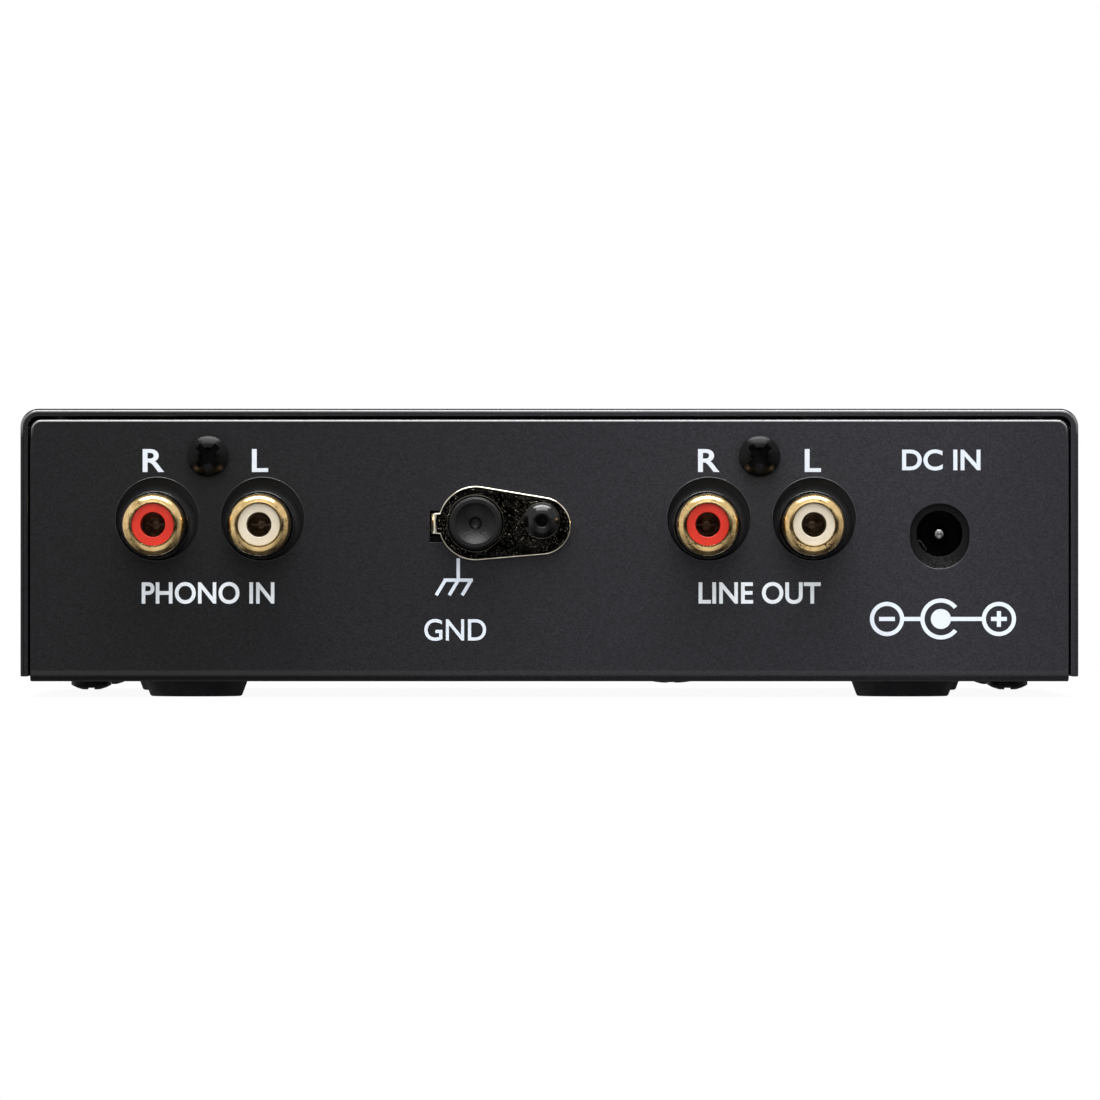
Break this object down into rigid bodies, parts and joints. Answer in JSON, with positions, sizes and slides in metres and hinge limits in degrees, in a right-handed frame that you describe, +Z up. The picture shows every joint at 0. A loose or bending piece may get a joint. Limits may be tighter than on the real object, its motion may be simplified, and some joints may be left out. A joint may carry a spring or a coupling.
{
  "type": "phono preamplifier",
  "caption": "Small black sheet-steel phono preamp box with phono jacks, a push-button ground terminal and a power jack at the back, a power button and lamp in front.",
  "frame": {"origin": "on the floor under the middle of the whole object's bounding box, jacks and button included", "axes": "+Z up; the connector panel faces -Y and the control panel faces +Y; +X is to the right of someone who looks at the connector panel"},
  "size_m": [0.1404, 0.1086, 0.0383],
  "materials": {
    "powder_black": "black powder coat, fine texture",
    "screw_black": "black oxide, semi-gloss",
    "rubber_black": "matte moulded rubber",
    "standoff_brass": "turned",
    "zinc": "zinc plated",
    "board_green": "glass-fibre laminate with green mask",
    "jack_black": "moulded, glossy",
    "gold": "gold plated, polished",
    "insulator_red": "moulded, satin",
    "insulator_ivory": "moulded, satin",
    "contact_bronze": "spring bronze",
    "housing_black": "moulded, matte",
    "nickel": "nickel plated",
    "button_black": "moulded, satin",
    "plunger_grey": "moulded",
    "lamp_clear": "clear lens",
    "chip_black": "moulded resin",
    "can_sleeve": "shrink sleeve",
    "can_top": "drawn",
    "film_red": "dipped resin",
    "resistor_blue": "lacquered"
  },
  "bodies": {
    "case": {"tray": "powder_black", "cover": "powder_black", "foot_rear_left": "rubber_black", "foot_rear_right": "rubber_black", "foot_front_left": "rubber_black", "foot_front_right": "rubber_black", "cover_screws": "screw_black", "floor_screws": "screw_black", "board_screws": "zinc", "standoffs": "standoff_brass", "circuit_board": "board_green", "input_block": "jack_black", "output_block": "jack_black", "jack_screws": "screw_black", "input_shell_right": "gold", "input_shell_left": "gold", "output_shell_right": "gold", "output_shell_left": "gold", "input_insulator_right": "insulator_red", "input_insulator_left": "insulator_ivory", "output_insulator_right": "insulator_red", "output_insulator_left": "insulator_ivory", "input_contact_right": "contact_bronze", "input_contact_left": "contact_bronze", "output_contact_right": "contact_bronze", "output_contact_left": "contact_bronze", "power_jack": "housing_black", "power_pin": "zinc", "power_leaf": "nickel", "ground_plate": "nickel", "ground_screw": "screw_black", "ground_nut": "zinc", "ground_housing": "housing_black", "ground_spring": "zinc", "ground_strap": "contact_bronze", "power_switch": "housing_black", "lamp": "lamp_clear", "lamp_collar": "housing_black", "lamp_legs": "zinc", "amplifiers": "chip_black", "amplifier_legs": "zinc", "capacitor_cans": "can_sleeve", "capacitor_tops": "can_top", "film_capacitors": "film_red", "resistors": "resistor_blue", "resistor_leads": "zinc", "regulator": "chip_black", "regulator_tab": "can_top"},
    "ground_push": {"ground_button": "button_black", "ground_jaw": "nickel"},
    "power_push": {"power_button": "button_black", "switch_plunger": "plunger_grey"}
  },
  "joints": [
    {"name": "ground_push", "type": "slide", "parent": "case", "child": "ground_push", "axis": [0, 1, 0], "range_m": [0, 0.002], "stiffness_N_per_m": 600, "springref_m": -0.002, "deforming": ["ground_spring"]},
    {"name": "power_push", "type": "slide", "parent": "case", "child": "power_push", "axis": [0, -1, 0], "range_m": [0, 0.002], "stiffness_N_per_m": 500, "springref_m": -0.002}
  ]
}
